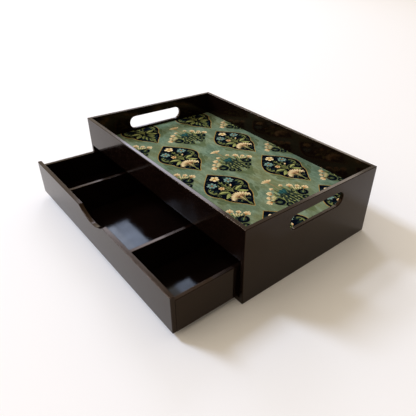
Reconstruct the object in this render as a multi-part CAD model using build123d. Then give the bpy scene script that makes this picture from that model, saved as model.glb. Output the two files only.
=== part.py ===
"""Serving tray with a drawer under it, made of thin lacquered boards glued and pinned at their edges.

Units are millimetres. +X runs along the length, the drawer opens towards -Y and +Z is up. The origin is
the centre of the underside of the case. The drawer is drawn part open.
"""

from build123d import *
import os

# Case
LENGTH = 406.0
DEPTH = 254.0
HEIGHT = 114.0
BOARD = 6.0
BASE_BOARD = 8.0
FLOOR_BOARD = 4.0
PRINT_SHEET = 1.0
PRINT_MARGIN = 0.4
FLOOR_TOP = 74.0
APRON_BOTTOM = 65.5
EASED_EDGE = 0.8

# Hand holes: round-ended slots through both end panels
SLOT_LENGTH = 106.0
SLOT_HEIGHT = 22.0
SLOT_MIDDLE = 89.0
SLOT_EDGE = 1.2

# Drawer
DRAWER_OPEN = 94.0
SIDE_GAP = 3.5
REAR_GAP = 0.5
SLIDE_GAP = 0.5
FRONT_BOTTOM = 9.0
FRONT_TOP = 63.5
DRAWER_TOP = 57.0
DRAWER_FLOOR = 4.0
DIVIDER_MIDDLE = 91.0
NOTCH_WIDTH = 72.0
NOTCH_DEPTH = 12.5

# Brads: headed pins, set below the surface and filled over
BRAD_LENGTH = 18.0
BRAD_RADIUS = 0.6
BRAD_HEAD_RADIUS = 1.0
BRAD_HEAD = 0.8
BRAD_SET = 1.0

# Where the brads are, along the board that each row is driven through
CORNER_BRADS_UP = (20.0, 50.0, 103.0)
APRON_END_BRADS_UP = (75.0, 103.0)
BASE_BRADS_DEEP = (-96.0, -32.0, 32.0, 96.0)
FLOOR_BRADS_DEEP = (-84.0, -28.0, 28.0, 84.0)
LONG_BRADS_ACROSS = (-150.0, -50.0, 50.0, 150.0)
DRAWER_BRADS_UP = (24.0, 46.0)
DRAWER_BRADS_ACROSS = (-140.0, -46.0, 46.0, 140.0)
DRAWER_BRADS_BEHIND_FRONT = (40.0, 110.0, 180.0)

# Places that follow from the sizes above
INNER = LENGTH / 2 - BOARD
CASE_FRONT = -DEPTH / 2
CASE_REAR = DEPTH / 2
WELL_FRONT = CASE_FRONT + BOARD
WELL_REAR = CASE_REAR - BOARD
FLOOR_BOARD_TOP = FLOOR_TOP - PRINT_SHEET
FLOOR_BOTTOM = FLOOR_BOARD_TOP - FLOOR_BOARD
DRAWER_HALF = INNER - SIDE_GAP
DRAWER_INNER = DRAWER_HALF - BOARD
DRAWER_BOTTOM = BASE_BOARD + SLIDE_GAP
DRAWER_FLOOR_TOP = DRAWER_BOTTOM + DRAWER_FLOOR
FRONT_FACE = CASE_FRONT - DRAWER_OPEN
FRONT_BACK = FRONT_FACE + BOARD
DRAWER_REAR = WELL_REAR - REAR_GAP - DRAWER_OPEN
DRAWER_BACK_FACE = DRAWER_REAR - BOARD

TOLERANCE = 1e-4


def block(x, y, z):
    """A box between the low and high values of each pair."""
    size = [high - low for low, high in (x, y, z)]
    middle = [(high + low) / 2 for low, high in (x, y, z)]
    return Pos(*middle) * Box(*size)


def on_plane(edge, axis, value):
    """True if the whole edge lies in the plane where the axis letter has this value."""
    box = edge.bounding_box()
    low = getattr(box.min, axis)
    high = getattr(box.max, axis)
    return abs(low - value) < TOLERANCE and abs(high - value) < TOLERANCE


def hand_hole(end):
    """The round-ended slot through the end panel at this end, -1 or 1, as a solid to cut."""
    outline = Plane(origin=(end * INNER, 0, SLOT_MIDDLE), x_dir=(0, 1, 0), z_dir=(end, 0, 0))
    return extrude(outline * SlotOverall(SLOT_LENGTH, SLOT_HEIGHT), BOARD)


def same_edge(edge, other):
    """True if two edges have the same middle and length."""
    near = (edge.center() - other.center()).length < TOLERANCE
    return near and abs(edge.length - other.length) < TOLERANCE


def case_envelope():
    """The whole case in one piece with its exposed edges eased, from which the boards are cut."""
    across = (-INNER, INNER)
    case = block((-LENGTH / 2, LENGTH / 2), (CASE_FRONT, CASE_REAR), (0, HEIGHT))
    case -= block(across, (WELL_FRONT, WELL_REAR), (FLOOR_TOP, HEIGHT))
    case -= block(across, (CASE_FRONT, WELL_REAR), (BASE_BOARD, APRON_BOTTOM))
    case -= block(across, (WELL_FRONT, WELL_REAR), (APRON_BOTTOM, FLOOR_BOTTOM))
    case -= hand_hole(-1)
    case -= hand_hole(1)

    faces = [("X", -LENGTH / 2), ("X", LENGTH / 2)]
    faces += [("Y", CASE_FRONT), ("Y", CASE_REAR)]
    faces += [("Z", 0), ("Z", HEIGHT)]
    eased = []
    slot_edges = []
    for edge in case.edges():
        middle = edge.center()
        inside_end = abs(abs(middle.X) - INNER) < TOLERANCE
        outside_end = abs(abs(middle.X) - LENGTH / 2) < TOLERANCE
        beside_slot = abs(middle.Y) < SLOT_LENGTH / 2 + SLOT_EDGE
        level_with_slot = abs(middle.Z - SLOT_MIDDLE) < SLOT_HEIGHT / 2 + SLOT_EDGE
        if beside_slot and level_with_slot and (inside_end or outside_end):
            slot_edges.append(edge)
        elif any(on_plane(edge, axis, value) for axis, value in faces):
            eased.append(edge)
    case = case.fillet(EASED_EDGE, eased)
    slot_edges = [edge for edge in case.edges() if any(same_edge(edge, old) for old in slot_edges)]
    return case.fillet(SLOT_EDGE, slot_edges)


def drawer_envelope():
    """The drawer's sides, back and dividers in one piece with their top edges eased."""
    deep = (FRONT_BACK, DRAWER_BACK_FACE)
    tall = (DRAWER_BOTTOM, DRAWER_TOP)
    near = DIVIDER_MIDDLE - BOARD / 2
    far = DIVIDER_MIDDLE + BOARD / 2
    shell = block((-DRAWER_HALF, DRAWER_HALF), (FRONT_BACK, DRAWER_REAR), tall)
    for across in ((-DRAWER_INNER, -far), (-near, near), (far, DRAWER_INNER)):
        shell -= block(across, deep, tall)

    eased = []
    for edge in shell.edges():
        at_front = on_plane(edge, "Y", FRONT_BACK)
        on_top = on_plane(edge, "Z", DRAWER_TOP)
        at_corner = on_plane(edge, "Y", DRAWER_REAR)
        if on_top and not at_front or at_corner:
            eased.append(edge)
    return shell.fillet(EASED_EDGE, eased)


def drawer_front():
    """The front board, with a scoop out of the middle of its top edge to pull it by."""
    half = NOTCH_WIDTH / 2
    scoop_radius = (half**2 + NOTCH_DEPTH**2) / (2 * NOTCH_DEPTH)
    face = Plane(origin=(0, FRONT_BACK, 0), x_dir=(1, 0, 0), z_dir=(0, -1, 0))
    middle = (FRONT_TOP + FRONT_BOTTOM) / 2
    outline = Pos(0, middle) * Rectangle(2 * DRAWER_HALF, FRONT_TOP - FRONT_BOTTOM)
    outline -= Pos(0, FRONT_TOP - NOTCH_DEPTH + scoop_radius) * Circle(scoop_radius)
    board = extrude(face * outline, BOARD)
    rim = [edge for edge in board.edges() if on_plane(edge, "Y", FRONT_FACE)]
    rim += [edge for edge in board.edges() if on_plane(edge, "Y", FRONT_BACK)]
    return board.fillet(EASED_EDGE, rim)


def brad(place, direction):
    """One brad, its head's top at this place, driven along this direction."""
    line = Plane(origin=place, z_dir=direction)
    shank = line * Pos(0, 0, BRAD_LENGTH / 2) * Cylinder(BRAD_RADIUS, BRAD_LENGTH)
    head = line * Pos(0, 0, BRAD_HEAD / 2) * Cylinder(BRAD_HEAD_RADIUS, BRAD_HEAD)
    return shank + head


def case_boards():
    """The case's boards by name."""
    envelope = case_envelope()
    across = (-INNER, INNER)
    end = (INNER, LENGTH / 2)
    well = (WELL_FRONT, WELL_REAR)
    full_depth = (CASE_FRONT, CASE_REAR)
    full_height = (0, HEIGHT)
    margin = PRINT_MARGIN
    sheet_across = (-INNER + margin, INNER - margin)
    sheet_deep = (WELL_FRONT + margin, WELL_REAR - margin)
    return {
        "left_end_panel": envelope & block((-end[1], -end[0]), full_depth, full_height),
        "right_end_panel": envelope & block(end, full_depth, full_height),
        "rear_panel": envelope & block(across, (WELL_REAR, CASE_REAR), full_height),
        "front_apron": envelope & block(across, (CASE_FRONT, WELL_FRONT), (APRON_BOTTOM, HEIGHT)),
        "base_board": envelope & block(across, (CASE_FRONT, WELL_REAR), (0, BASE_BOARD)),
        "tray_floor": block(across, well, (FLOOR_BOTTOM, FLOOR_BOARD_TOP)),
        "printed_panel": block(sheet_across, sheet_deep, (FLOOR_BOARD_TOP, FLOOR_TOP)),
    }


def drawer_boards():
    """The drawer's boards by name."""
    envelope = drawer_envelope()
    side = (DRAWER_INNER, DRAWER_HALF)
    inside = (-DRAWER_INNER, DRAWER_INNER)
    deep = (FRONT_BACK, DRAWER_BACK_FACE)
    tall = (DRAWER_BOTTOM, DRAWER_TOP)
    above_floor = (DRAWER_FLOOR_TOP, DRAWER_TOP)
    divider = (DIVIDER_MIDDLE - BOARD / 2, DIVIDER_MIDDLE + BOARD / 2)
    return {
        "drawer_front": drawer_front(),
        "drawer_left_side": envelope & block((-side[1], -side[0]), (FRONT_BACK, DRAWER_REAR), tall),
        "drawer_right_side": envelope & block(side, (FRONT_BACK, DRAWER_REAR), tall),
        "drawer_back": envelope & block(inside, (DRAWER_BACK_FACE, DRAWER_REAR), tall),
        "drawer_left_divider": envelope & block((-divider[1], -divider[0]), deep, above_floor),
        "drawer_right_divider": envelope & block(divider, deep, above_floor),
        "drawer_floor": block(inside, deep, (DRAWER_BOTTOM, DRAWER_FLOOR_TOP)),
    }


def case_brads():
    """The case's brads, grouped by the board that they are driven through."""
    base_middle = BASE_BOARD / 2
    floor_middle = (FLOOR_BOTTOM + FLOOR_BOARD_TOP) / 2
    rear_middle = CASE_REAR - BOARD / 2
    apron_middle = CASE_FRONT + BOARD / 2
    through_end = [(rear_middle, z) for z in CORNER_BRADS_UP]
    through_end += [(apron_middle, z) for z in APRON_END_BRADS_UP]
    through_end += [(y, base_middle) for y in BASE_BRADS_DEEP]
    through_end += [(y, floor_middle) for y in FLOOR_BRADS_DEEP]
    through_rear = [(x, z) for x in LONG_BRADS_ACROSS for z in (base_middle, floor_middle)]
    head = LENGTH / 2 - BRAD_SET
    front = CASE_FRONT + BRAD_SET
    rear = CASE_REAR - BRAD_SET
    return {
        "left_end_brads": [brad((-head, y, z), (1, 0, 0)) for y, z in through_end],
        "right_end_brads": [brad((head, y, z), (-1, 0, 0)) for y, z in through_end],
        "rear_panel_brads": [brad((x, rear, z), (0, -1, 0)) for x, z in through_rear],
        "apron_brads": [brad((x, front, floor_middle), (0, 1, 0)) for x in LONG_BRADS_ACROSS],
    }


def drawer_brads():
    """The drawer's brads, grouped by the board that they are driven through."""
    floor_middle = (DRAWER_BOTTOM + DRAWER_FLOOR_TOP) / 2
    back_middle = DRAWER_REAR - BOARD / 2
    side_middle = DRAWER_HALF - BOARD / 2
    into_floor = [(x, floor_middle) for x in DRAWER_BRADS_ACROSS]
    into_dividers = [(x, z) for x in (-DIVIDER_MIDDLE, DIVIDER_MIDDLE) for z in DRAWER_BRADS_UP]
    into_sides = [(x, z) for x in (-side_middle, side_middle) for z in DRAWER_BRADS_UP]
    through_back = into_dividers + into_floor
    through_front = into_sides + through_back
    through_side = [(back_middle, z) for z in DRAWER_BRADS_UP]
    through_side += [(FRONT_BACK + y, floor_middle) for y in DRAWER_BRADS_BEHIND_FRONT]
    head = DRAWER_HALF - BRAD_SET
    front = FRONT_FACE + BRAD_SET
    rear = DRAWER_REAR - BRAD_SET
    return {
        "drawer_front_brads": [brad((x, front, z), (0, 1, 0)) for x, z in through_front],
        "drawer_back_brads": [brad((x, rear, z), (0, -1, 0)) for x, z in through_back],
        "drawer_left_side_brads": [brad((-head, y, z), (1, 0, 0)) for y, z in through_side],
        "drawer_right_side_brads": [brad((head, y, z), (-1, 0, 0)) for y, z in through_side],
    }


def boxes_meet(first, second):
    """True if two bounding boxes touch or overlap."""
    for axis in "XYZ":
        if getattr(first.min, axis) > getattr(second.max, axis):
            return False
        if getattr(second.min, axis) > getattr(first.max, axis):
            return False
    return True


def without_brads(board, brads):
    """The board with a blind hole for each brad that reaches into it."""
    box = board.bounding_box()
    for pin in brads:
        if boxes_meet(box, pin.bounding_box()):
            board -= pin
    return board


def write(name, shape):
    """Write one sub-part as a STEP file."""
    shape.label = name
    export_step(shape, os.path.join("parts", name + ".step"))


def main():
    os.makedirs("parts", exist_ok=True)
    for boards, groups in ((case_boards(), case_brads()), (drawer_boards(), drawer_brads())):
        brads = [pin for group in groups.values() for pin in group]
        for name, board in boards.items():
            write(name, without_brads(board, brads))
        for name, group in groups.items():
            write(name, Compound(children=group))


main()
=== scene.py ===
"""Looks of the lacquered serving tray with a drawer: camera, studio, lacquer, and the floral print."""

import math

import bmesh
import bpy
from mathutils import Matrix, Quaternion, Vector
from mathutils.geometry import delaunay_2d_cdt


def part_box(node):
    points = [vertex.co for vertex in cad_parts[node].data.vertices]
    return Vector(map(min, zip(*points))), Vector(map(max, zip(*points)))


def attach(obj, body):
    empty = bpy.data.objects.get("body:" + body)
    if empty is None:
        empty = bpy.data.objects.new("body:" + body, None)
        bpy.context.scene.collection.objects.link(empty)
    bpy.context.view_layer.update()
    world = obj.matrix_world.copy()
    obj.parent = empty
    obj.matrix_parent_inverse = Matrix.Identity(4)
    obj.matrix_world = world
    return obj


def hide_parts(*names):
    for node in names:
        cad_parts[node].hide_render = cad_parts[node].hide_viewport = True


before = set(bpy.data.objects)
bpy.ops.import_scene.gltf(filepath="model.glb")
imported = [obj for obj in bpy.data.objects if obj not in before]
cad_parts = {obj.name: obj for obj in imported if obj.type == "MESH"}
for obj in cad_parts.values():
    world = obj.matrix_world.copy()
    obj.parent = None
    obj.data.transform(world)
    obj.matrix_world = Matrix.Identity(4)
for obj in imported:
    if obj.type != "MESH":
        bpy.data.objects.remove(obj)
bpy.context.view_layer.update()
scene = bpy.context.scene
MM = 0.001


# Camera ------------------------------------------------------------------------------------------------

CAMERA_PLACE = (0.4686, -0.3746, 0.3821)
CAMERA_TURN = (0.996, -0.0522, 0.834)
CAMERA_LENS = 35.7
CAMERA_SENSOR = 36.0
CAMERA_SHIFT = (-0.111, -0.006)


def make_camera():
    """A camera in front of the tray's right end, turned left and down towards it."""
    data = bpy.data.cameras.new("camera")
    data.lens = CAMERA_LENS
    data.sensor_width = CAMERA_SENSOR
    data.shift_x, data.shift_y = CAMERA_SHIFT
    camera = bpy.data.objects.new("camera", data)
    camera.location = CAMERA_PLACE
    camera.rotation_euler = CAMERA_TURN
    scene.collection.objects.link(camera)
    scene.camera = camera


# Node helpers ------------------------------------------------------------------------------------------


def linear(red, green, blue):
    """A colour given in the 0 to 255 display scale, as linear light."""

    def curve(level):
        return ((level / 255 + 0.055) / 1.055) ** 2.4 if level > 10 else level / 255 / 12.92

    return tuple(curve(level) for level in (red, green, blue))


class Nodes:
    """A material's node tree, with one method for each kind of node that the materials use."""

    def __init__(self, name):
        self.material = bpy.data.materials.new(name)
        self.material.use_nodes = True
        self.tree = self.material.node_tree
        self.shader = self.tree.nodes["Principled BSDF"]
        self.place = self.new("ShaderNodeTexCoord").outputs["Object"]

    def new(self, kind, **settings):
        node = self.tree.nodes.new(kind)
        for name, value in settings.items():
            setattr(node, name, value)
        return node

    def feed(self, socket, value):
        """Link an output to the socket, or set the socket to a plain value."""
        if isinstance(value, bpy.types.NodeSocket):
            self.tree.links.new(value, socket)
        elif isinstance(value, tuple) and len(value) == 3 and socket.type == "RGBA":
            socket.default_value = (*value, 1.0)
        else:
            socket.default_value = value

    def math(self, operation, first, second=0.0):
        node = self.new("ShaderNodeMath", operation=operation)
        self.feed(node.inputs[0], first)
        self.feed(node.inputs[1], second)
        return node.outputs[0]

    def stretch(self, value, low, high, to_low=0.0, to_high=1.0):
        """The value mapped so that low becomes to_low and high becomes to_high, and kept between them."""
        node = self.new("ShaderNodeMapRange")
        for name, number in (("From Min", low), ("From Max", high), ("To Min", to_low), ("To Max", to_high)):
            node.inputs[name].default_value = number
        self.feed(node.inputs["Value"], value)
        return node.outputs[0]

    def mix(self, amount, first, second, blend="MIX"):
        """The first colour at amount 0 and, in the plain blend, the second at amount 1."""
        node = self.new("ShaderNodeMix", data_type="RGBA", blend_type=blend)
        self.feed(node.inputs[0], amount)
        self.feed(node.inputs[6], first)
        self.feed(node.inputs[7], second)
        return node.outputs[2]

    def noise(self, size, detail=2.0, roughness=0.5, stretch=(1.0, 1.0, 1.0), turn=0.0, shift=0.0):
        """Noise whose features are about this many metres across."""
        mapping = self.new("ShaderNodeMapping")
        mapping.inputs["Scale"].default_value = [s / size for s in stretch]
        mapping.inputs["Rotation"].default_value = (0.0, 0.0, turn)
        mapping.inputs["Location"].default_value = (shift, shift, shift)
        self.feed(mapping.inputs["Vector"], self.place)
        node = self.new("ShaderNodeTexNoise")
        node.inputs["Scale"].default_value = 1.0
        node.inputs["Detail"].default_value = detail
        node.inputs["Roughness"].default_value = roughness
        self.feed(node.inputs["Vector"], mapping.outputs[0])
        return node.outputs["Fac"]

    def tint(self, value):
        """A grey of this brightness, to multiply a colour by."""
        node = self.new("ShaderNodeCombineColor")
        for socket in node.inputs:
            self.feed(socket, value)
        return node.outputs[0]

    def bump(self, height, depth, below=None):
        """A normal bent by a height of 0 to 1 that stands for this many metres, over the bump below it."""
        node = self.new("ShaderNodeBump")
        node.inputs["Strength"].default_value = 1.0
        node.inputs["Distance"].default_value = depth
        self.feed(node.inputs["Height"], height)
        if below is not None:
            self.feed(node.inputs["Normal"], below)
        return node.outputs[0]

    def set(self, **sockets):
        """Feed the shader's sockets, named with underscores for spaces."""
        for name, value in sockets.items():
            self.feed(self.shader.inputs[name.replace("_", " ")], value)


# Lacquer and steel -------------------------------------------------------------------------------------

LACQUER_DARK = linear(12, 6, 4)
LACQUER_PALE = linear(18, 9, 6)
LACQUER_IOR = 1.34
LACQUER_ROUGHNESS = (0.09, 0.15)
PEEL_SIZE = 0.0035
PEEL_DEPTH = 0.000006
WAVE_SIZE = 0.045
WAVE_DEPTH = 0.00012
BOARD_SHEEN = (1.0, 0.62, 0.34)
DRAWER_FLOOR_SHEEN = (0.85, 0.95, 1.0)
BOARD_SHIFT = 3.7


def make_lacquer(name, shift, sheen):
    """Dark brown gloss lacquer: faint cloudiness, orange peel, a slow waviness and a tinted sheen."""
    n = Nodes(name)
    cloud = n.stretch(n.noise(0.06, detail=3.0, shift=shift), 0.3, 0.7)
    n.set(Base_Color=n.mix(cloud, LACQUER_DARK, LACQUER_PALE))
    n.set(Roughness=n.stretch(n.noise(0.02, detail=4.0, shift=shift), 0.3, 0.7, *LACQUER_ROUGHNESS))
    n.set(IOR=LACQUER_IOR, Specular_Tint=sheen)
    peel = n.bump(n.noise(PEEL_SIZE, detail=1.5, shift=shift), PEEL_DEPTH)
    n.set(Normal=n.bump(n.noise(WAVE_SIZE, detail=1.0, shift=shift), WAVE_DEPTH, below=peel))
    return n.material


def make_steel():
    """The plain steel of the brads inside the joints."""
    n = Nodes("brad steel")
    n.set(Base_Color=linear(150, 150, 152), Metallic=1.0)
    n.set(Roughness=n.stretch(n.noise(0.001, detail=3.0), 0.3, 0.7, 0.25, 0.45))
    return n.material


def dress_boards():
    """Give the brads their steel, and every board a lacquer shifted so that no two look the same."""
    steel = make_steel()
    for number, (name, node) in enumerate(sorted(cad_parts.items())):
        if name.endswith("brads"):
            material = steel
        else:
            sheen = DRAWER_FLOOR_SHEEN if name == "drawer_floor" else BOARD_SHEEN
            material = make_lacquer("lacquer " + name.replace("_", " "), BOARD_SHIFT * number, sheen)
        node.data.materials.clear()
        node.data.materials.append(material)


# Printed floor -----------------------------------------------------------------------------------------
# The print is a flat drawing in millimetres, seen from above, cut into the top face of one thin sheet.
# Each shape has a closed outline, and an ink at its root that turns into another at its tip. Later
# shapes lie over earlier ones. A medallion and a spray both start at (0, 0) and point along +X, and
# most of what they hold is drawn on one side of their middle line and mirrored.

REPEAT = (126.0, 115.5)
PRINT_START = (18.5, -41.5)
PRINT_COLUMNS = range(-2, 3)
PRINT_ROWS = range(-2, 3)
LEAF_COLUMN = -2
SPRAY_SHIFT = 0.5
MEDALLION_LENGTH = 108.0
EDGE_WIDTH = 0.9
EDGE_RIPPLE = 0.35
RIPPLE_START = 66.0
BLOOM_HEART = (85.0, 0.0)
TRUMPET_HEART = (10.5, 0)
WISPS = 15
SHADE_SOFTNESS = 0.3
SAME_POINT = 2e-6

INK = {
    "ground": linear(126, 143, 112),
    "navy": linear(7, 12, 22),
    "night_leaf": linear(38, 56, 50),
    "gold": linear(182, 146, 76),
    "rust": linear(150, 98, 50),
    "olive": linear(116, 122, 70),
    "olive_dark": linear(66, 76, 48),
    "lime": linear(154, 160, 90),
    "lime_light": linear(196, 194, 118),
    "cream": linear(236, 208, 150),
    "cream_light": linear(250, 230, 182),
    "tan": linear(182, 140, 96),
    "yellow": linear(238, 196, 104),
    "orange": linear(206, 134, 54),
    "teal": linear(84, 120, 112),
    "teal_light": linear(140, 168, 150),
    "teal_dark": linear(30, 88, 86),
    "shade": linear(70, 82, 48),
    "shade_soft": linear(100, 112, 72),
    "stem": linear(130, 132, 74),
}

SHADOW = ("shade", "shade_soft")
NIGHT_LEAF = ("navy", "night_leaf")
DARK_LEAF = ("olive_dark", "olive")
LIT_LEAF = ("olive", "lime")
BRIGHT_LEAF = ("lime", "lime_light")
PETAL = ("tan", "cream")
PALE_PETAL = ("cream", "cream_light")


class Shape:
    def __init__(self, outline, root, tip, root_ink, tip_ink=None):
        self.outline = outline
        self.root = root
        self.tip = tip
        self.root_ink = root_ink
        self.tip_ink = tip_ink or root_ink

    def moved(self, x, y, flip=1.0):
        """The same shape elsewhere, mirrored in the middle line first if flip is -1."""

        def move(point):
            return (point[0] + x, point[1] * flip + y)

        outline = [move(point) for point in self.outline]
        return Shape(outline, move(self.root), move(self.tip), self.root_ink, self.tip_ink)

    def ink_at(self, x, y):
        """The ink at a point, which changes evenly from the root to the tip."""
        along = (self.tip[0] - self.root[0], self.tip[1] - self.root[1])
        length = along[0] ** 2 + along[1] ** 2
        if length == 0.0:
            return INK[self.root_ink]
        share = ((x - self.root[0]) * along[0] + (y - self.root[1]) * along[1]) / length
        share = min(1.0, max(0.0, share))
        return tuple(a + (b - a) * share for a, b in zip(INK[self.root_ink], INK[self.tip_ink]))


def mirrored(shapes):
    return shapes + [shape.moved(0, 0, -1) for shape in shapes]


def polar(centre, radius, degrees):
    angle = math.radians(degrees)
    return (centre[0] + radius * math.cos(angle), centre[1] + radius * math.sin(angle))


def between(p, q, r, s, t):
    """A value that goes smoothly from q at t = 0 to r at t = 1, where p comes before them and s after."""
    square = 2 * p - 5 * q + 4 * r - s
    cube = 3 * q - p - 3 * r + s
    return 0.5 * (2 * q + (r - p) * t + square * t**2 + cube * t**3)


def smooth(points, steps=4):
    """Points along a smooth curve through the given ones."""
    padded = [points[0], *points, points[-1]]
    curve = []
    for corners in zip(padded, padded[1:], padded[2:], padded[3:]):
        for step in range(steps):
            curve.append(tuple(between(*values, step / steps) for values in zip(*corners)))
    curve.append(points[-1])
    return curve


def blade(root, tip, width, inks, belly=0.45, bend=0.0, blunt=1.0, side=0, steps=7):
    """A leaf or petal. belly is where it is widest, bend bows it sideways, a blunt under 1 rounds its ends,
    and side keeps only its left or right half."""
    dx, dy = tip[0] - root[0], tip[1] - root[1]
    length = math.hypot(dx, dy)
    across = (-dy / length, dx / length)
    power = math.log(0.5) / math.log(belly)
    left, right = [], []
    for step in range(steps + 1):
        t = step / steps
        half = width / 2 * math.sin(math.pi * t**power) ** blunt if 0 < step < steps else 0.0
        bow = bend * math.sin(math.pi * t)
        middle = (root[0] + dx * t + across[0] * bow, root[1] + dy * t + across[1] * bow)
        half_left, half_right = half * (side >= 0), half * (side <= 0)
        left.append((middle[0] + across[0] * half_left, middle[1] + across[1] * half_left))
        right.append((middle[0] - across[0] * half_right, middle[1] - across[1] * half_right))
    return Shape(left + right[-2:0:-1], root, tip, *inks)


def two_tone(root, tip, width, dark=DARK_LEAF, light=LIT_LEAF, **form):
    """A leaf with one half lighter, as if lit from its side."""
    return [blade(root, tip, width, dark, **form), blade(root, tip, width * 0.86, light, side=1, **form)]


def band(points, widths, inks, steps=4):
    """A stroke along a smooth curve, whose width goes evenly through the given ones."""
    line = smooth(points, steps)
    left, right = [], []
    for i, point in enumerate(line):
        before, after = line[max(i - 1, 0)], line[min(i + 1, len(line) - 1)]
        dx, dy = after[0] - before[0], after[1] - before[1]
        length = math.hypot(dx, dy) or 1.0
        place = i / (len(line) - 1) * (len(widths) - 1)
        low = min(int(place), len(widths) - 2)
        half = (widths[low] + (widths[low + 1] - widths[low]) * (place - low)) / 2
        left.append((point[0] - dy / length * half, point[1] + dx / length * half))
        right.append((point[0] + dy / length * half, point[1] - dx / length * half))
    return Shape(left + right[::-1], line[0], line[-1], *inks)


def disc(centre, radius, inks, sides=12):
    outline = [polar(centre, radius, 360 * k / sides) for k in range(sides)]
    return Shape(outline, polar(centre, radius, -90), polar(centre, radius, 90), *inks)


def curl(centre, radius, turns, start, widths, inks, tighten=0.25):
    """A spiral stroke that winds in from its outer radius."""
    count = max(6, int(turns * 9))
    points = []
    for k in range(count + 1):
        t = k / count
        points.append(polar(centre, radius * (1 - (1 - tighten) * t), start + 360 * turns * t))
    return band(points, widths, inks, steps=1)


def flower(centre, radius, petals, inner, outer, start=0.0, pointed=1.0):
    """An open flower: broad petals, each with a paler streak, round a small eye."""
    shapes = []
    for k in range(petals):
        angle = start + 360 * k / petals
        size = radius * (1.0 if k % 2 else 0.92)
        root = polar(centre, radius * 0.12, angle)
        tip = polar(centre, size, angle)
        width = radius * 3.6 / petals
        shapes.append(blade(root, tip, width, (inner, outer), belly=0.62, blunt=0.7 * pointed))
        streak_root = polar(centre, radius * 0.3, angle)
        streak_tip = polar(centre, size * 0.88, angle)
        shapes.append(blade(streak_root, streak_tip, width * 0.3, (outer, outer), belly=0.7))
    shapes.append(disc(centre, radius * 0.2, ("rust", "orange"), 8))
    return shapes


# The medallion.


def medallion_outline(grow, ink):
    """The medallion's outline, grown outwards by this much. Past its shoulder the grown edge ripples."""
    half = [(0, 0), (10.5, 10.8), (24.5, 24.0), (34.5, 30.6), (45.5, 34.6), (56.5, 32.6), (64.5, 27.4)]
    half += [(69.5, 24.2), (76.5, 22.6), (84.5, 18.2), (95.0, 9.6), (MEDALLION_LENGTH, 0)]
    line = smooth(half, 4)
    top = []
    for i, (x, y) in enumerate(line):
        before, after = line[max(i - 1, 0)], line[min(i + 1, len(line) - 1)]
        dx, dy = after[0] - before[0], after[1] - before[1]
        length = math.hypot(dx, dy)
        ripple = EDGE_RIPPLE * math.sin(i * math.pi / 1.5) if x > RIPPLE_START else 0.0
        top.append((x - dy / length * (grow + ripple), max(0.0, y + dx / length * (grow + ripple))))
    top[0] = (-1.5 * grow, 0.0)
    top[-1] = (MEDALLION_LENGTH + 1.8 * grow, 0.0)
    outline = top + [(x, -y) for x, y in top[-2:0:-1]]
    return Shape(outline, (0, 0), (MEDALLION_LENGTH, 0), ink)


def medallion_shadow():
    """Soft olive strokes on the ground beside the medallion's shoulder."""
    strokes = []
    for x, y, turn, size in (
        (64, 33, -38, 22),
        (71, 29, -30, 22),
        (79, 25, -34, 18),
        (57, 37, -46, 17),
        (69, 36, -26, 17),
    ):
        strokes.append(blade((x, y), polar((x, y), size, turn), 6.5, SHADOW, bend=1.5))
    return strokes


def night_leaves():
    """Leaves hardly lighter than the dark field that they fill."""
    leaves = []
    for x, y, tip_x, tip_y, width in (
        (8, 3, 15, 12, 4),
        (22, 9, 22, 20, 4),
        (38, 16, 44, 27, 5),
        (47, 14, 50, 25, 5),
        (70, 15, 75, 6, 4),
        (88, 6, 79, 17, 4.5),
        (95, 4, 88, 11, 3.5),
        (66, 5, 60, 13, 3),
        (30, 4, 38, 9, 3),
    ):
        leaves.append(blade((x, y), (tip_x, tip_y), width, NIGHT_LEAF, bend=0.8))
    return leaves


def scroll():
    """A long leaf along the medallion's side, with three lobes on its inner edge and a curl at its end."""
    spine = [(36, 25.2), (40, 27.4), (46, 28.8), (52, 27), (56, 23)]
    return [
        band(spine, (0.5, 2.2, 2.8, 2.2, 0.5), DARK_LEAF),
        band([(38, 25.8), (42, 27.6), (47, 28), (52, 25.4)], (0.3, 1.1, 1.1, 0.3), LIT_LEAF),
        *two_tone((40, 27), (38.5, 22.4), 2.6),
        *two_tone((45, 28), (44.8, 22.2), 2.8),
        *two_tone((50.5, 27), (52, 20.6), 2.8),
        curl((61.5, 24.2), 3.4, 1.2, 150, (1.6, 1.3, 0.6), ("olive", "olive_dark")),
    ]


def stems():
    """Side stems that lead to the flowers, and the small leaves along them."""
    return [
        band([(60, 1.5), (50, 4), (42, 8), (36, 12)], (1.3, 1.1, 0.8), ("stem", "olive_dark")),
        band([(58, 2), (54, 6), (52, 12), (53, 18)], (1.2, 0.9, 0.5), ("stem", "olive")),
        band([(52, 2.4), (49, 5), (47, 7.5)], (0.9, 0.6), ("stem", "olive")),
        *two_tone((44, 1.2), (38.5, 4.6), 2.2, bend=0.4),
        *two_tone((36, 0.8), (30, 3.6), 2.0, bend=0.4),
        *two_tone((52, 1.4), (46, 3.2), 1.6),
        *two_tone((57, 5), (59.5, 12.5), 2.8, bend=-0.6),
        *two_tone((41, 9), (34.8, 7.2), 2.0, ("night_leaf", "olive")),
    ]


def broad_leaves():
    """Two broad light leaves next to the bloom, each with a darker vein."""
    return [
        *two_tone((61.5, 5.5), (55.5, 22.5), 7.4, DARK_LEAF, BRIGHT_LEAF, bend=1.2),
        *two_tone((62, 6.5), (72.5, 20.5), 6.6, LIT_LEAF, BRIGHT_LEAF, bend=-1.2),
        band([(61.3, 6.5), (58.4, 14), (56, 20)], (0.7, 0.5, 0.3), DARK_LEAF),
        band([(62.4, 7.4), (67, 13.5), (71, 18.6)], (0.7, 0.5, 0.3), DARK_LEAF),
    ]


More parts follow.
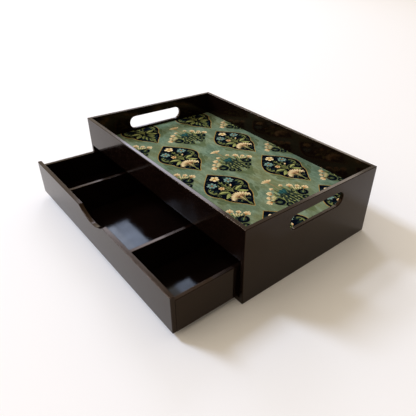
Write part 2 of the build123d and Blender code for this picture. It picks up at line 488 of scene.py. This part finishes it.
def leaf_fan():
    """The leaves that take the place of the flowers in a medallion that isn't in flower."""
    leaves = []
    for x, y, tip_x, tip_y, width in (
        (24, 1.5, 12, 7.5, 4.6),
        (33, 3, 22, 14, 5.0),
        (42, 8, 32, 20.5, 5.2),
        (68, 1.5, 80, 12, 5.4),
        (74, 1, 88, 8, 4.4),
        (82, 0.5, 98, 3, 3.0),
        (66, 8, 70, 20, 4.6),
    ):
        leaves += mirrored(two_tone((x, y), (tip_x, tip_y), width, bend=1.0))
    return leaves


def small_flowers():
    """A yellow flower, two blue ones, a small orange one and a bud."""
    return [
        *flower((17.5, 0), 7.8, 5, "yellow", "cream_light", start=36),
        *flower((31.5, 15.4), 8.2, 7, "teal", "teal_light", start=10, pointed=1.2),
        *flower((31.5, -15.4), 8.2, 7, "teal", "teal_light", start=-10, pointed=1.2),
        *flower((46.0, -8.6), 4.8, 5, "orange", "cream", start=20),
        *two_tone((47.5, 7.2), (42.5, 10.4), 2.8, ("orange", "cream"), PALE_PETAL, blunt=0.7),
    ]


def bloom_petals():
    """The fan of petals on one side of the bloom."""
    petals = []
    for angle in (112, 128, 143, 157, 170):
        reach = 17.6 + 1.6 * math.cos(math.radians(angle - 180))
        root = polar(BLOOM_HEART, 5.5, angle)
        petals.append(blade(root, polar(BLOOM_HEART, reach, angle), 3.9, PETAL, belly=0.7, blunt=0.8))
        pale_root = polar(BLOOM_HEART, 9, angle + 3)
        pale_tip = polar(BLOOM_HEART, reach - 1.2, angle + 2)
        petals.append(blade(pale_root, pale_tip, 1.7, PALE_PETAL, belly=0.7))
        petals.append(blade(root, polar(BLOOM_HEART, reach - 5, angle - 4), 0.8, ("rust", "tan")))
    return petals


def bloom():
    """A fan of petals over a dark heart with a pale vein, and a curled sepal at each side."""
    middle_root = polar(BLOOM_HEART, 5.5, 180)
    middle_tip = polar(BLOOM_HEART, 19.4, 180)
    pale_root = polar(BLOOM_HEART, 9, 180)
    pale_tip = polar(BLOOM_HEART, 18.2, 180)
    curled = [(84, 3.5), (78.5, 8.5), (77.5, 12.8), (81, 14.8), (85.5, 12.4)]
    curled_light = [(80, 7), (77.8, 10.5), (78.6, 13.4), (82.5, 14.2)]
    sepal = [
        band(curled, (0.8, 2.0, 2.6, 1.8, 0.4), ("olive", "cream")),
        band(curled_light, (0.4, 1.1, 1.1, 0.3), ("lime_light", "cream_light")),
        *two_tone((86, 2.5), (91.5, 8.0), 2.4, ("night_leaf", "olive_dark"), DARK_LEAF, bend=0.8),
    ]
    return [
        *mirrored(bloom_petals()),
        blade(middle_root, middle_tip, 4.0, PETAL, belly=0.7, blunt=0.8),
        blade(pale_root, pale_tip, 1.7, PALE_PETAL, belly=0.7),
        *mirrored([blade((95, 1.5), (79.5, 8.2), 6.0, ("navy", "navy"), bend=-0.8)]),
        blade((96, 0), (76.5, 0), 7.2, ("olive_dark", "tan"), belly=0.6, blunt=0.8),
        *mirrored([blade((93, 0.6), (78.5, 3.2), 1.3, DARK_LEAF, bend=0.6)]),
        blade((92, 0), (77.5, 0), 1.2, ("lime_light", "cream")),
        *mirrored(sepal),
    ]


def spear():
    """The stalk with two small leaves that ends in the medallion's point."""
    return [
        band([(90, 0), (98, 0), (105.5, 0)], (2.0, 1.4, 0.5), LIT_LEAF),
        *mirrored(two_tone((97.5, 0.2), (101.5, 2.0), 1.3)),
    ]


def medallion(in_flower):
    """A dark field with a gold edge, full of leaves. In flower, it has blossoms and a fan-shaped bloom."""
    shapes = mirrored(medallion_shadow())
    shapes.append(medallion_outline(EDGE_WIDTH, "gold"))
    shapes.append(medallion_outline(0.0, "navy"))
    shapes += mirrored(night_leaves()) + mirrored(scroll())
    shapes.append(band([(22, 0), (40, 0.4), (64, 0)], (0.9, 1.4, 1.6), ("olive", "stem")))
    shapes += mirrored(stems()) + mirrored(broad_leaves())
    shapes += small_flowers() + bloom() if in_flower else leaf_fan()
    return shapes + spear()


# The spray.


def spray_shadow():
    """Soft olive strokes on the ground under and past the foliage."""
    strokes = []
    for x, y, turn, size in (
        (62, 30, -40, 24),
        (72, 20, -30, 26),
        (82, 8, -14, 26),
        (50, 34, -44, 20),
        (40, 8, -4, 40),
    ):
        strokes.append(blade((x, y), polar((x, y), size, turn), 9.0, SHADOW, bend=-1.5))
    return strokes


def wisps():
    """Thin grassy strokes from the broad side towards the point, over two dark patches."""
    inks = (("olive", "night_leaf"), ("lime", "olive"), ("night_leaf", "navy"), ("olive_dark",) * 2)
    strokes = []
    for k in range(WISPS):
        share = k / (WISPS - 1)
        x, y = 25 + 27 * share, 2.5 + 27 * share
        tip_x, tip_y = 60 + 18 * math.cos(2.4 * k), 3.5 + 14 * share + 3.5 * math.sin(2.9 * k)
        middle = ((x + tip_x) / 2, (y + tip_y) / 2 + 1.6 + 2.6 * math.sin(1.3 * k))
        strokes.append(band([(x, y), middle, (tip_x, tip_y)], (0.6, 2.6, 0.7), inks[k % len(inks)]))
    patches = [
        blade((44, 3), (80, 6), 13.0, ("night_leaf", "navy"), bend=1.0),
        blade((48, 14), (70, 16), 10.0, ("olive_dark", "night_leaf"), bend=1.0),
    ]
    return mirrored(patches) + mirrored(strokes)


def foliage():
    """Dark leaves in the middle of the spray, and light streaks on them."""
    lit_half = ("night_leaf", "olive_dark")
    leaves = []
    for x, y, tip_x, tip_y, width in (
        (50, 2, 57, 9, 4.4),
        (56, 3, 66, 9, 4.4),
        (48, 9, 58, 15, 4.2),
        (62, 1.5, 73, 6, 4.0),
        (58, 12, 68, 14, 4.0),
        (70, 2, 82, 4.5, 3.2),
        (66, 10, 76, 9, 3.4),
        (46, 5, 50, 12, 3.4),
        (54, 17, 50, 23, 3.2),
    ):
        leaves += two_tone((x, y), (tip_x, tip_y), width, NIGHT_LEAF, lit_half, bend=0.6)
    for x, y, tip_x, tip_y in (
        (52, 4, 58, 6.4),
        (60, 5, 66, 5.4),
        (53, 11, 58, 12.6),
        (67, 4.6, 73, 4),
        (62, 9.4, 67, 10.4),
    ):
        leaves.append(blade((x, y), (tip_x, tip_y), 1.5, ("olive", "lime_light"), bend=0.3))
    return leaves


def rings():
    """Three dark curled leaves of falling size, each with a light stroke below it."""
    shapes = []
    for x, y, radius in ((60.5, 24.0, 8.2), (73.0, 16.6, 5.6), (81.0, 8.6, 3.8)):
        shapes.append(disc((x, y), radius, ("navy", "navy"), 16))
        shapes.append(disc((x, y), radius * 0.5, ("night_leaf", "olive_dark"), 12))
        widths = (radius * 0.24, radius * 0.16, 0.3)
        shapes.append(curl((x, y), radius * 0.56, 1.1, 200, widths, NIGHT_LEAF))
        leaf_root = (x + radius * 0.3, y - radius * 0.3)
        leaf_tip = (x - radius * 0.3, y + radius * 0.35)
        shapes += two_tone(leaf_root, leaf_tip, radius * 0.26)
        start = (x - radius * 1.3, y - radius * 0.9)
        middle = (x - radius * 0.2, y - radius * 1.25)
        end = (x + radius * 1.3, y - radius * 0.7)
        shapes.append(band([start, middle, end], (0.5, 1.3, 0.4), ("lime", "olive")))
    return shapes


def feathers():
    """Four pale leaves side by side behind the outermost blossom."""
    leaves = []
    for k in range(4):
        root = (51.0 + 0.8 * k, 19.5 + 2.2 * k)
        tip = (39.5 + 3.4 * k, 22.5 + 3.1 * k)
        leaves += two_tone(root, tip, 2.8, ("olive", "cream"), ("lime_light", "cream_light"), bend=0.5)
    return leaves


def blue_tuft():
    """Dark blue leaves on the middle line, with two lighter streaks."""
    return [
        blade((51, 0.5), (36, 5.5), 6.0, ("night_leaf", "teal_dark"), belly=0.6, blunt=0.8),
        blade((51, 0), (35, -1.5), 5.6, ("night_leaf", "teal_dark"), belly=0.6, blunt=0.8),
        blade((50, -1), (38.5, -7.5), 5.0, ("night_leaf", "teal_dark"), belly=0.6, blunt=0.8),
        blade((47, 0.5), (38, 2.5), 1.5, ("teal_dark", "teal")),
        blade((47, -2), (39, -4), 1.2, ("teal_dark", "teal")),
    ]


def trumpet():
    """The cream flower on a long stalk, at the spray's broad end."""
    petals = []
    for angle in (118, 146, 180, 214, 242):
        reach = 10.0 - 1.6 * math.cos(math.radians(2 * (angle - 180)))
        tip = polar(TRUMPET_HEART, reach, angle)
        petals.append(blade(TRUMPET_HEART, tip, 3.8, PETAL, belly=0.68, blunt=0.75))
        petals.append(blade(polar(TRUMPET_HEART, 4, angle), tip, 1.5, PALE_PETAL, belly=0.7))
    petals.append(blade((16, 0), (8, 0), 2.8, ("olive", "tan")))
    return petals


def blossoms():
    """Cream blossoms of five petals along the spray's broad side."""
    shapes = []
    for x, y, radius, turn in (
        (27.5, 9.6, 3.8, 160),
        (35.5, 20.5, 5.6, 140),
        (43.5, 29.5, 4.2, 125),
        (53.0, 36.5, 5.8, 110),
    ):
        root = polar((x, y), radius * 0.5, turn + 180)
        shapes.append(band([root, polar(root, radius * 1.6, turn + 190)], (1.0, 0.5), ("tan", "olive")))
        for spread in (-58, -30, 0, 30, 58):
            tip = polar(root, radius * (1.5 - abs(spread) / 150), turn + spread)
            shapes.append(blade(root, tip, radius * 0.62, PETAL, belly=0.66, blunt=0.75))
            pale_root = polar(root, radius * 0.5, turn + spread)
            shapes.append(blade(pale_root, tip, radius * 0.24, PALE_PETAL))
        shapes.append(disc(root, radius * 0.26, ("rust", "orange"), 8))
    return shapes


def spray():
    """Loose foliage with no edge, dark towards its point, fringed with cream blossoms on its broad side."""
    return [
        *mirrored(spray_shadow()),
        *wisps(),
        *mirrored(foliage()),
        band([(12, 0), (26, 0.6), (46, 0)], (1.5, 1.2, 1.0), ("tan", "olive")),
        band([(56, 0), (72, 0.3), (89, 0)], (1.0, 1.6, 0.4), ("lime", "olive_dark")),
        *mirrored(rings()),
        *mirrored(feathers()),
        *blue_tuft(),
        *trumpet(),
        *mirrored(blossoms()),
    ]


# The sheet.


def one_repeat(in_flower):
    """The shapes that reach into one repeat of the print: a medallion, and the quarters of four sprays."""
    half_x, half_y = REPEAT[0] / 2, REPEAT[1] / 2
    middle = MEDALLION_LENGTH / 2
    shapes = []
    for side_x in (-1, 1):
        for side_y in (-1, 1):
            shapes += [shape.moved(side_x * half_x + SPRAY_SHIFT, side_y * half_y) for shape in spray()]
    shapes += medallion(in_flower)
    low = (middle - half_x, -half_y)
    high = (middle + half_x, half_y)

    def reaches_in(shape):
        across, up = zip(*shape.outline)
        return min(across) < high[0] and max(across) > low[0] and min(up) < high[1] and max(up) > low[1]

    return [shape for shape in shapes if reaches_in(shape)], low, high


def anticlockwise(outline):
    turning = sum(a[0] * b[1] - b[0] * a[1] for a, b in zip(outline, (*outline[1:], outline[0])))
    return outline if turning > 0 else outline[::-1]


def cut_along(shapes, low, high):
    """Cut a rectangle along every outline: its points, and each triangle with the inks of its corners.
    An ink's fourth number is how much of the painted ground shows through it."""
    corners = ((low[0], low[1]), (high[0], low[1]), (high[0], high[1]), (low[0], high[1]))
    points = [Vector(corner) for corner in corners]
    outlines = [[0, 1, 2, 3]]
    for shape in shapes:
        outlines.append(list(range(len(points), len(points) + len(shape.outline))))
        points += [Vector(point) for point in anticlockwise(shape.outline)]
    cut = delaunay_2d_cdt(points, [], outlines, 1, 1e-4, True)
    flat, triangles, sources = cut[0], cut[2], cut[5]
    pieces = []
    for triangle, source in zip(triangles, sources):
        if 0 not in source:
            continue
        top = max(source)
        if top == 0:
            inks = [(*INK["ground"], 1.0)] * 3
        else:
            shape = shapes[top - 1]
            ground = SHADE_SOFTNESS if shape.root_ink == SHADOW[0] else 0.0
            inks = [(*shape.ink_at(flat[i].x, flat[i].y), ground) for i in triangle]
        pieces.append((triangle, inks))
    return flat, pieces


def lay_repeats(bm, low, high):
    """Lay repeats of the print side by side until they cover the sheet's top face."""
    shapes, tile_low, tile_high = one_repeat(True)
    in_flower = cut_along(shapes, tile_low, tile_high)
    in_leaf = cut_along(one_repeat(False)[0], tile_low, tile_high)
    ink_layer = bm.loops.layers.float_color.new("ink")
    for column in PRINT_COLUMNS:
        for row in PRINT_ROWS:
            x = PRINT_START[0] + column * REPEAT[0]
            y = PRINT_START[1] + row * REPEAT[1]
            if x + tile_high[0] < low.x / MM or x + tile_low[0] > high.x / MM:
                continue
            if y + tile_high[1] < low.y / MM or y + tile_low[1] > high.y / MM:
                continue
            flat, pieces = in_leaf if column == LEAF_COLUMN else in_flower
            corners = [bm.verts.new(((p.x + x) * MM, (p.y + y) * MM, high.z)) for p in flat]
            for triangle, inks in pieces:
                face = bm.faces.new([corners[i] for i in triangle])
                for loop, ink in zip(face.loops, inks):
                    loop[ink_layer] = ink
    bmesh.ops.remove_doubles(bm, verts=bm.verts[:], dist=SAME_POINT)


def trim_and_close(bm, low, high):
    """Trim the top face to the sheet's edges, then give it walls and a bottom."""
    for place, outward in ((low, (-1, 0, 0)), (low, (0, -1, 0)), (high, (1, 0, 0)), (high, (0, 1, 0))):
        everything = bm.verts[:] + bm.edges[:] + bm.faces[:]
        bmesh.ops.bisect_plane(
            bm, geom=everything, dist=1e-7, plane_co=place, plane_no=outward, clear_outer=True
        )
    rim = [edge for edge in bm.edges if edge.is_boundary]
    walls = bmesh.ops.extrude_edge_only(bm, edges=rim)["geom"]
    for piece in walls:
        if isinstance(piece, bmesh.types.BMVert):
            piece.co.z = low.z
    bmesh.ops.contextual_create(bm, geom=[edge for edge in bm.edges if edge.is_boundary])
    bmesh.ops.recalc_face_normals(bm, faces=bm.faces[:])


def make_print_sheet():
    """The printed sheet: one closed thin solid whose top face is cut along every edge of the drawing."""
    low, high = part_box("printed_panel")
    bm = bmesh.new()
    lay_repeats(bm, low, high)
    trim_and_close(bm, low, high)
    mesh = bpy.data.meshes.new("floral_print")
    bm.to_mesh(mesh)
    bm.free()
    sheet = bpy.data.objects.new("floral_print", mesh)
    scene.collection.objects.link(sheet)
    mesh.materials.append(make_print_ink())
    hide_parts("printed_panel")
    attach(sheet, "case")


GROUND_GREEN = linear(112, 137, 114)
GROUND_OLIVE = linear(136, 142, 100)
GROUND_PALE = linear(136, 154, 126)
GROUND_DARK = linear(82, 94, 62)
GRAIN_SHADE = (0.66, 1.0)
GRAIN_DEPTH = 0.00003


def make_print_ink():
    """Matt print: the drawn inks, with brushed olive and green clouds in the ground and a fine grain."""
    n = Nodes("floral print")
    ink = n.new("ShaderNodeAttribute", attribute_name="ink")
    brush = n.noise(0.03, detail=5.0, roughness=0.6, stretch=(1.0, 2.6, 1.0), turn=0.5)
    strokes = n.stretch(brush, 0.42, 0.62)
    gaps = n.math("SUBTRACT", 1.0, strokes)
    clouds = n.stretch(n.noise(0.07, detail=3.0, shift=4.0), 0.4, 0.62)
    grain = n.noise(0.004, detail=4.0, roughness=0.65, stretch=(1.0, 1.7, 1.0), turn=-0.6)
    fine = n.stretch(grain, 0.3, 0.7)
    ground = n.mix(clouds, GROUND_GREEN, GROUND_OLIVE)
    ground = n.mix(n.math("MULTIPLY", strokes, 0.6), ground, GROUND_PALE)
    ground = n.mix(n.math("MULTIPLY", gaps, 0.4), ground, GROUND_DARK)
    colour = n.mix(ink.outputs["Alpha"], ink.outputs["Color"], ground)
    shade = n.tint(n.stretch(fine, 0.0, 1.0, *GRAIN_SHADE))
    n.set(Base_Color=n.mix(1.0, colour, shade, blend="MULTIPLY"))
    n.set(Roughness=n.stretch(fine, 0.0, 1.0, 0.42, 0.56), IOR=1.45)
    n.shader.inputs["Specular IOR Level"].default_value = 0.0
    n.set(Normal=n.bump(fine, GRAIN_DEPTH))
    return n.material


# Studio ------------------------------------------------------------------------------------------------


# Azimuth goes from -X towards +Y, and a light's roll is clockwise as seen from the tray. The window is
# mirrored in the apron and the rims, and the key, by way of the apron, in the drawer floor.

FLOOR_SIZE = 12.0
FLOOR_DROP = 0.0002
FLOOR_COLOUR = (0.94, 0.92, 0.88)
LIGHT_DISTANCE = 5.0
LIGHTS = {
    "window": {
        "azimuth": 27.4,
        "elevation": 33.2,
        "roll": 50.7,
        "size": (1.5, 1.5),
        "radiance": 4.8,
        "colour": (0.88, 0.99, 1.3),
    },
    "second window": {
        "azimuth": 58.0,
        "elevation": 28.0,
        "roll": 0.0,
        "size": (0.7, 0.8),
        "radiance": 2.6,
        "colour": (1.0, 0.95, 0.9),
    },
    "key": {
        "azimuth": -29.5,
        "elevation": 41.0,
        "roll": 50.0,
        "size": (1.45, 0.8),
        "radiance": 38.0,
        "colour": (0.82, 0.97, 1.32),
    },
}
ROOM_COLOUR = (1.0, 0.88, 0.73, 1.0)
ROOM_BRIGHT_SIDE = (-0.85, -0.4, 0.3)
ROOM_REACH = 0.7
ROOM_DIM = 0.12
ROOM_BRIGHT = 1.08


def make_floor():
    """A plain pale matt floor, just under the tray so that the two don't share a plane."""
    bpy.ops.mesh.primitive_plane_add(size=FLOOR_SIZE, location=(0.0, 0.0, -FLOOR_DROP))
    floor = bpy.context.object
    floor.name = "floor"
    n = Nodes("floor")
    n.set(Base_Color=FLOOR_COLOUR, Roughness=0.9)
    n.shader.inputs["Specular IOR Level"].default_value = 0.1
    floor.data.materials.append(n.material)


def make_light(name, azimuth, elevation, roll, size, radiance, colour):
    """A soft rectangular light that faces the tray."""
    data = bpy.data.lights.new(name, "AREA")
    data.shape = "RECTANGLE"
    data.size, data.size_y = size
    data.energy = radiance * math.pi * size[0] * size[1]
    data.color = colour
    light = bpy.data.objects.new(name, data)
    side, up = math.radians(azimuth), math.radians(elevation)
    towards = Vector((-math.cos(up) * math.cos(side), math.cos(up) * math.sin(side), math.sin(up)))
    light.location = towards * LIGHT_DISTANCE
    facing = (-towards).to_track_quat("-Z", "Y")
    rolled = facing @ Quaternion((0.0, 0.0, 1.0), math.radians(roll))
    light.rotation_euler = rolled.to_euler()
    scene.collection.objects.link(light)


def make_world():
    """A warm pale room, brightest to the left and in front."""
    world = bpy.data.worlds.new("studio")
    scene.world = world
    world.use_nodes = True
    tree = world.node_tree
    background = tree.nodes["Background"]
    background.inputs["Color"].default_value = ROOM_COLOUR
    place = tree.nodes.new("ShaderNodeTexCoord")
    leftward = tree.nodes.new("ShaderNodeVectorMath")
    leftward.operation = "DOT_PRODUCT"
    leftward.inputs[1].default_value = ROOM_BRIGHT_SIDE
    spread = tree.nodes.new("ShaderNodeMapRange")
    spread.inputs["From Min"].default_value = -ROOM_REACH
    spread.inputs["From Max"].default_value = ROOM_REACH
    spread.inputs["To Min"].default_value = ROOM_DIM
    spread.inputs["To Max"].default_value = ROOM_BRIGHT
    tree.links.new(place.outputs["Generated"], leftward.inputs[0])
    tree.links.new(leftward.outputs["Value"], spread.inputs["Value"])
    tree.links.new(spread.outputs[0], background.inputs["Strength"])


make_camera()
make_world()
make_floor()
for light_name, light in LIGHTS.items():
    make_light(light_name, **light)
scene.view_settings.view_transform = "Standard"
dress_boards()
make_print_sheet()
